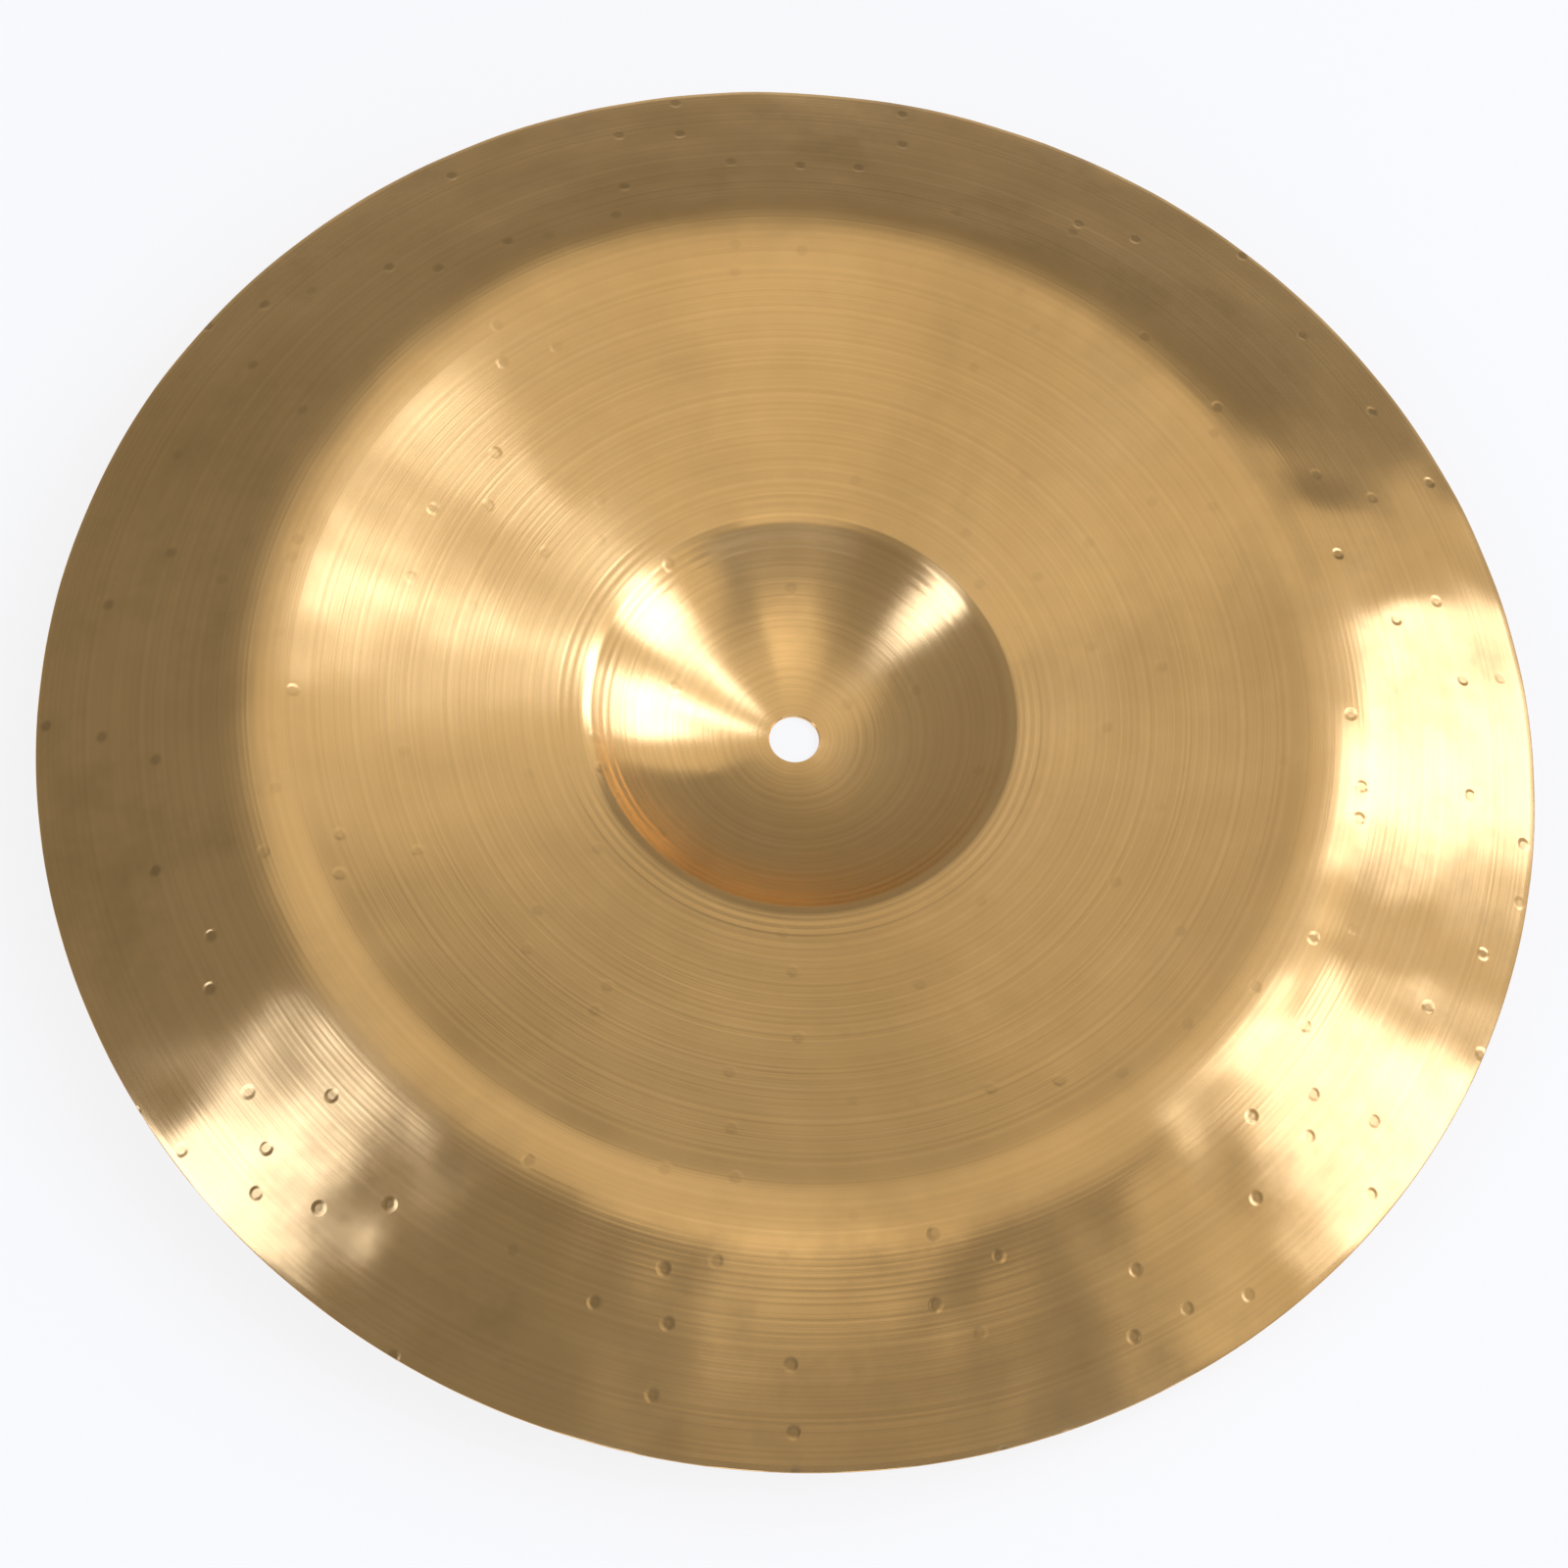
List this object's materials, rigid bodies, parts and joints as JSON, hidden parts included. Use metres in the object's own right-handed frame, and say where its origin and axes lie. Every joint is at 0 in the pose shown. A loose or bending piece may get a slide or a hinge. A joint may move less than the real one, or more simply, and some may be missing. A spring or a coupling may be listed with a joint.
{
  "type": "china cymbal",
  "caption": "Round turned bronze cymbal with a domed bell, a sloping bow, an edge turned back as a flange, and a centre hole for a stand.",
  "frame": {"origin": "centre of the stand hole on the outer face of the bell, the lowest face when the cymbal lies on its bell", "axes": "+Z along the hole's axis, out of the hollow side; X and Y lie in the plane of the rim"},
  "size_m": [0.4064, 0.4064, 0.039],
  "materials": {
    "bronze": "lathed and hand hammered, lightly tarnished"
  },
  "bodies": {
    "root": {"cymbal": "bronze"}
  },
  "joints": []
}
